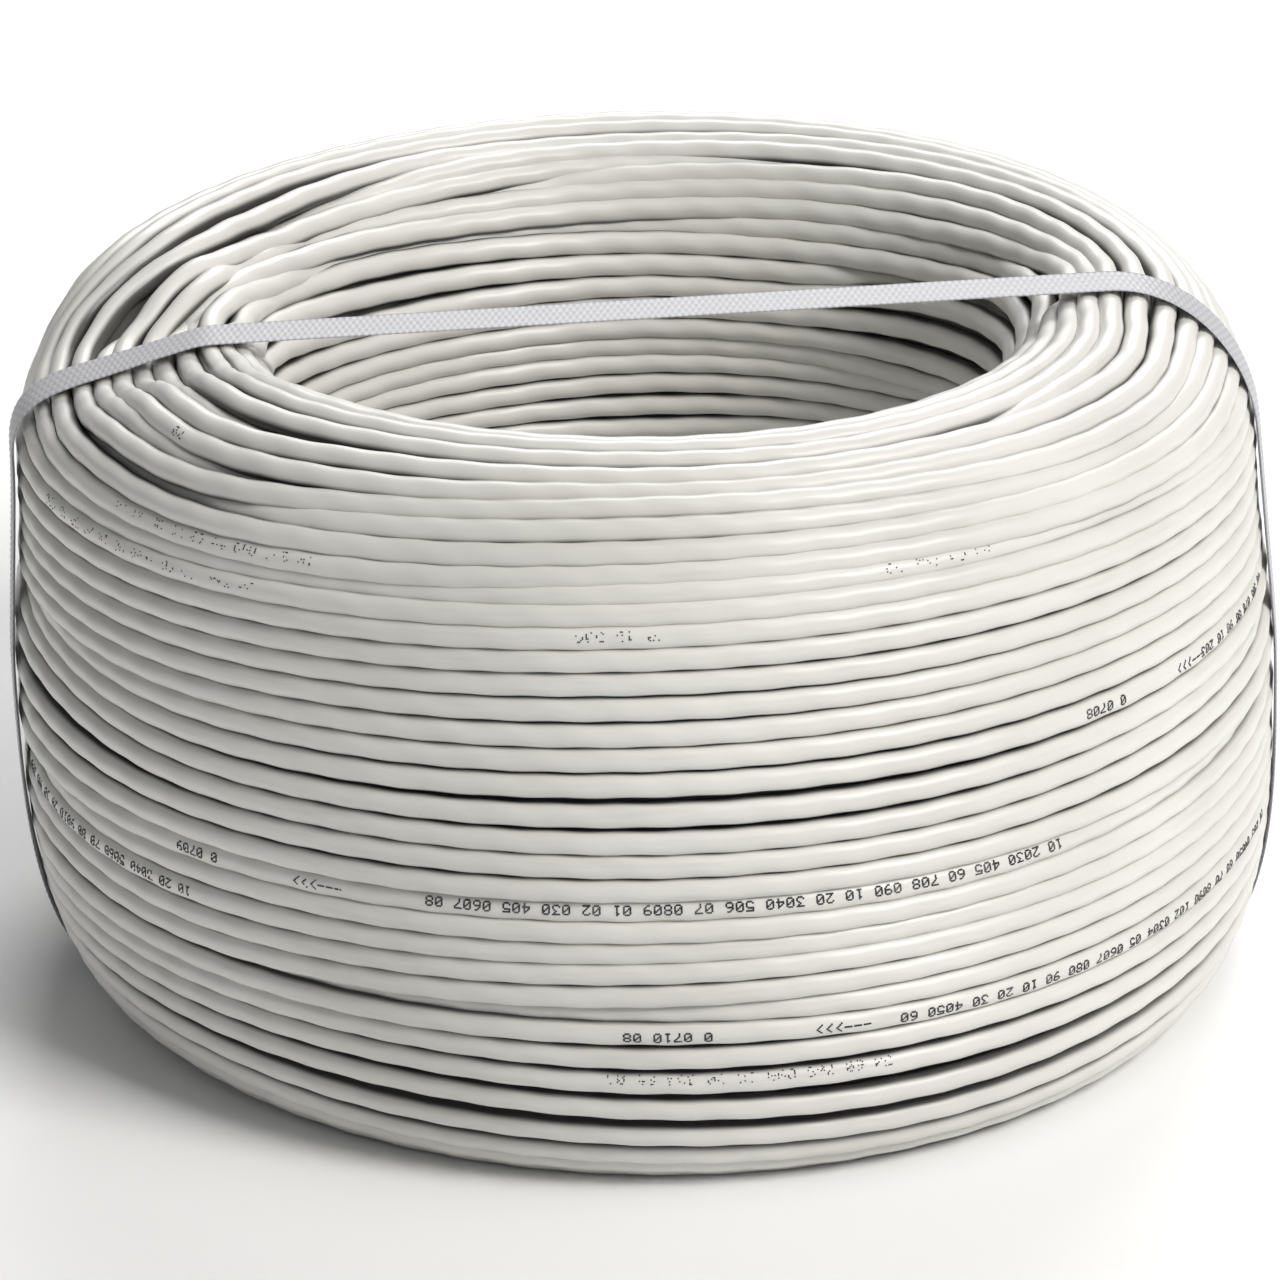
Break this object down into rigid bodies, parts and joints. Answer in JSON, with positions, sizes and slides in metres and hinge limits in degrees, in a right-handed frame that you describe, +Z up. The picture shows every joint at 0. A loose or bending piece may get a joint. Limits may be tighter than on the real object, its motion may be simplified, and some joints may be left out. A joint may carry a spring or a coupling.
{
  "type": "coil of electrical wire",
  "caption": "Coil of thin sheathed two-core wire wound in rings round an open bore, standing on its end and tied across with a narrow woven strap.",
  "frame": {"origin": "centre of the coil's footprint, on the floor under it", "axes": "+Z up along the coil's axis; the strap runs along X in an upright plane 15 mm towards -Y from the axis"},
  "size_m": [0.2698, 0.268, 0.1511],
  "materials": {
    "sheath": "satin off-white PVC",
    "strap": "woven pale grey polyester"
  },
  "bodies": {
    "root": {"cable_coil": "sheath", "strap": "strap"}
  },
  "joints": []
}
